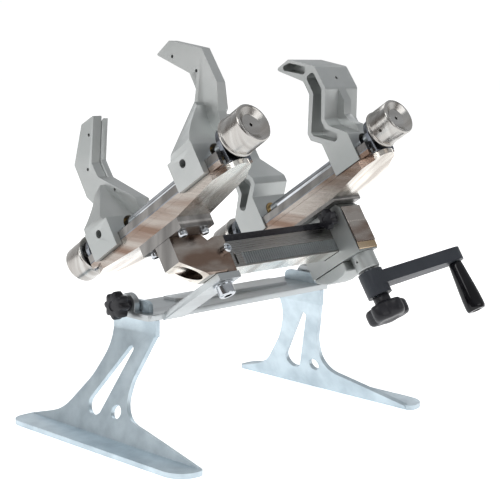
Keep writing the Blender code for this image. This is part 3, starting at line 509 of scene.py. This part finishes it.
# =============================================================== carriage
def cover_plate():
    """The folded plate over the pinion's chamber: a tall panel, a slight fold, and a foot strip painted tan
    as a reflection.
    """
    rows = [(35.4, 20.0), (36.9, 19.4), (36.9, 3.4), (37.2, 2.6), (37.2, -19.6), (36.2, -20.2), (36.2, -26.6),
            (35.5, -27.5)]
    bm = bmesh.new()
    left, right = ([bm.verts.new(T(x, w, z)) for w, z in rows] for x in COVER_X)
    bm.faces.new(left)
    bm.faces.new(right[::-1])
    for k in range(len(rows)):
        j = (k + 1) % len(rows)
        bm.faces.new((left[k], right[k], right[j], left[j]))
    obj = add_object("folded_cover_plate", bm, 20.0)
    finish_piece(obj, "carriage", "gear_cover", "polished_aluminium")
    # the foot below the fold gets a tan painted reflection
    obj.data.materials.append(MATERIALS["painted_tan_reflection"])
    for face in obj.data.polygons:
        if (face.center - ORIGIN).dot(UP) / MM < TAN_REFLECTION_Z:
            face.material_index = 1
    bevel(obj, 0.25)


def carriage():
    """The block that slides on the beam, its keeper, cover plate and shaft bush, and its lock."""
    screw_holes = [(16, 1.7, T(60.5, w, 16.0), X, 4.0) for w in (24.0, -24.0)]
    copy_of("carriage_body", "carriage_block", 0.8, holes=screw_holes)
    copy_of("carriage_keeper", "carriage_keeper_shoe", 1.4, segments=3)
    cover_plate()
    bush = [(5.4, 0), (11.4, 0, 0.6), (12.3, 1.2, 0.4), (12.3, 17.4), (5.4, 17.4), (5.4, 0)]
    oil_hole = (16, 1.3, T(*CRANK, -36.0) - X * 14 * MM, X, 5.0)
    lathe("shaft_boss", rounded_profile(bush), T(*CRANK, -46.3), UP, "carriage", "shaft_bush",
          "satin_aluminium", 96, [oil_hole])
    crown = [(0, 0.66, 0), (0, 0.72, 0.5), (0, 0.72, 3.4), (0.9, 0.93, 4.2), (1, 1, 5.4), (1, 1, 11.6),
             (1, 0.95, 13.0), (0.6, 0.78, 13.5), (0, 0.45, 13.5), (0, 0.42, 13.0)]
    lobed("carriage_lock_knob", 6, 10.4, 7.4, crown, T(61.0, 22.3, 13.9), -X, "carriage_lock", "lock_knob",
          0.3)
    copy_of("lock_stud", "lock_screw", 0.3)


# =============================================================== crank
def crank():
    """Arm and shaft, the lobed clamp knob under the hub, and the grip on its pin."""
    copy_of("crank_arm", "crank_arm_bar", 1.6, segments=3)
    shaft = [(0, 0), (4.6, 0), (5.0, 0.5), (5.0, 80.0), (4.4, 80.7), (0, 80.7)]
    lathe("crank_shaft", rounded_profile(shaft), T(*CRANK, -3.3), -UP, "crank", "pinion_shaft", "chrome", 48)
    crown = [(0, 0.50, 0), (0, 0.52, 0.6), (0, 0.52, 6.6), (0.5, 0.68, 8.0), (0.9, 0.92, 9.6),
             (1, 0.985, 11.6), (1, 1, 14.0), (1, 1, 19.5), (1, 0.975, 22.8), (0.9, 0.91, 25.0),
             (0.6, 0.8, 26.0), (0.1, 0.62, 25.6), (0, 0.5, 24.8)]
    lobed("crank_lobe_knob", 5, 22.5, 16.4, crown, T(*CRANK, -75.0), -UP, "crank_clamp", "crank_knob", 0.5)
    grip = [(3.4, 0), (6.4, 0, 0.6), (7.0, -1.6), (7.4, -6.0), (8.2, -16.0), (9.2, -28.0), (10.0, -40.0),
            (10.2, -47.0), (10.1, -51.5, 1.5), (8.9, -54.0, 0.8), (5.0, -54.0), (4.6, -53.2), (0, -53.2)]
    lathe("grip_handle", rounded_profile(grip), T(*TIP, -66.5), UP, "grip", "crank_grip", "gloss_black")
    copy_of("grip_pin", "grip_axle", 0.3)


def carried_over():
    """The pinion and the nuts keep their CAD shape and take a finish."""
    for node in ("pinion", "left_nut_upper", "left_nut_lower", "right_nut_upper", "right_nut_lower"):
        NODES[node].data.materials.clear()
        NODES[node].data.materials.append(MATERIALS[SLOT[node]])


# =============================================================== floor, light, camera
def build_floor():
    """A white floor just under the feet, which gives off some light of its own."""
    bm = bmesh.new()
    bmesh.ops.create_grid(bm, x_segments=2, y_segments=2, size=9.0)
    floor = add_object("floor", bm)
    floor.location.z = -0.0002
    paper = surface("paper_floor", (0.88, 0.88, 0.88), (0.90, 0.90, 0.90), 0.8, 0.0, (40, 40, 40),
                    (1, 1, 1), 0.05, 0.0)
    shader = paper.node_tree.nodes["Principled BSDF"]
    shader.inputs["Emission Color"].default_value = (1.0, 1.0, 1.0, 1.0)
    shader.inputs["Emission Strength"].default_value = 0.72
    floor.data.materials.append(paper)


def build_world():
    """A white backdrop; for light and reflections a room with a bright ceiling and darker walls."""
    world = bpy.data.worlds.new("studio")
    bpy.context.scene.world = world
    world.use_nodes = True
    tree = world.node_tree
    tree.nodes.clear()
    make = tree.nodes.new
    coords = make("ShaderNodeTexCoord")
    axes = make("ShaderNodeSeparateXYZ")
    tree.links.new(coords.outputs["Generated"], axes.inputs["Vector"])
    height = make("ShaderNodeMapRange")
    height.inputs["From Min"].default_value = -1.0
    tree.links.new(axes.outputs["Z"], height.inputs["Value"])

    def bands(stops):
        ramp = make("ShaderNodeValToRGB")
        while len(ramp.color_ramp.elements) < len(stops):
            ramp.color_ramp.elements.new(0.5)
        for element, (place, colour) in zip(ramp.color_ramp.elements, stops):
            element.position = place
            element.color = (*colour, 1.0)
        tree.links.new(height.outputs["Result"], ramp.inputs["Fac"])
        return ramp.outputs["Color"]

    near = bands(((0.0, (0.16, 0.12, 0.10)), (0.49, (0.15, 0.11, 0.09)), (0.56, (0.30, 0.27, 0.25)),
                  (0.66, (0.20, 0.195, 0.19)), (0.78, (0.75, 0.77, 0.79)), (1.0, (1.0, 1.0, 1.0))))
    far = bands(((0.0, (0.75, 0.75, 0.75)), (0.50, (1.5, 1.5, 1.5)), (0.58, (1.25, 1.25, 1.25)),
                 (0.68, (0.75, 0.77, 0.80)), (0.80, (0.95, 0.97, 1.0)), (1.0, (1.0, 1.0, 1.0))))
    facing = make("ShaderNodeVectorMath")
    facing.operation = "DOT_PRODUCT"
    facing.inputs[1].default_value = (0.80, 0.60, 0.0)
    tree.links.new(coords.outputs["Generated"], facing.inputs[0])
    share = make("ShaderNodeMapRange")
    share.interpolation_type = "SMOOTHSTEP"
    share.inputs["From Min"].default_value = -0.15
    share.inputs["From Max"].default_value = 0.45
    tree.links.new(facing.outputs["Value"], share.inputs["Value"])
    walls = make("ShaderNodeMix")           # its colour sockets are 6 and 7 in, 2 out
    walls.data_type = "RGBA"
    tree.links.new(share.outputs["Result"], walls.inputs["Factor"])
    tree.links.new(near, walls.inputs[6])
    tree.links.new(far, walls.inputs[7])
    room = make("ShaderNodeBackground")
    room.inputs["Strength"].default_value = 0.55
    tree.links.new(walls.outputs[2], room.inputs["Color"])
    backdrop = make("ShaderNodeBackground")
    backdrop.inputs["Color"].default_value = (1.0, 1.0, 1.0, 1.0)
    backdrop.inputs["Strength"].default_value = 1.02
    path = make("ShaderNodeLightPath")
    mix = make("ShaderNodeMixShader")
    output = make("ShaderNodeOutputWorld")
    tree.links.new(path.outputs["Is Camera Ray"], mix.inputs["Fac"])
    tree.links.new(room.outputs["Background"], mix.inputs[1])
    tree.links.new(backdrop.outputs["Background"], mix.inputs[2])
    tree.links.new(mix.outputs["Shader"], output.inputs["Surface"])


def area_light(name, place, wide, tall, power):
    """A soft rectangular lamp turned towards the middle of the jig."""
    data = bpy.data.lights.new(name, "AREA")
    data.shape = "RECTANGLE"
    data.size, data.size_y = wide, tall
    data.energy = power
    lamp = bpy.data.objects.new(name, data)
    bpy.context.scene.collection.objects.link(lamp)
    lamp.location = place
    lamp.rotation_euler = (MIDDLE - Vector(place)).to_track_quat("-Z", "Y").to_euler()


def build_camera():
    """The camera at the photographer's place, turned by yaw, pitched down and rolled a little."""
    data = bpy.data.cameras.new("camera")
    data.lens = LENS
    data.sensor_width = 36.0
    camera = bpy.data.objects.new("camera", data)
    bpy.context.scene.collection.objects.link(camera)
    ahead = Vector((math.cos(YAW), math.sin(YAW), 0.0))
    level = Vector((math.sin(YAW), -math.cos(YAW), 0.0))
    look = ahead * math.cos(PITCH) - Vector((0, 0, math.sin(PITCH)))
    above = level.cross(look)
    right = level * math.cos(ROLL) + above * math.sin(ROLL)
    top = above * math.cos(ROLL) - level * math.sin(ROLL)
    turn = Matrix((right, top, -look)).transposed().to_4x4()
    camera.matrix_world = Matrix.Translation(CAMERA_AT) @ turn
    bpy.context.scene.camera = camera


# =============================================================== the scene
stand()
beam_and_head()
vice("left")
vice("right")
for label, way in WAYS:
    jaws(label, way)
carriage()
crank()
carried_over()

build_floor()
build_world()
bpy.context.scene.view_settings.view_transform = "Standard"
area_light("key", (-1.5, -0.2, 1.5), 1.0, 1.0, 11.0)
area_light("front", (0.1, -1.9, 0.9), 1.5, 0.7, 6.0)
area_light("side", (1.9, 0.5, 0.9), 0.8, 0.8, 5.0)
area_light("left_strip", (-1.7, 0.9, 0.7), 0.35, 1.2, 2.5)
area_light("back", (0.5, 1.9, 1.6), 1.4, 0.8, 6.0)
build_camera()

bpy.context.view_layer.update()
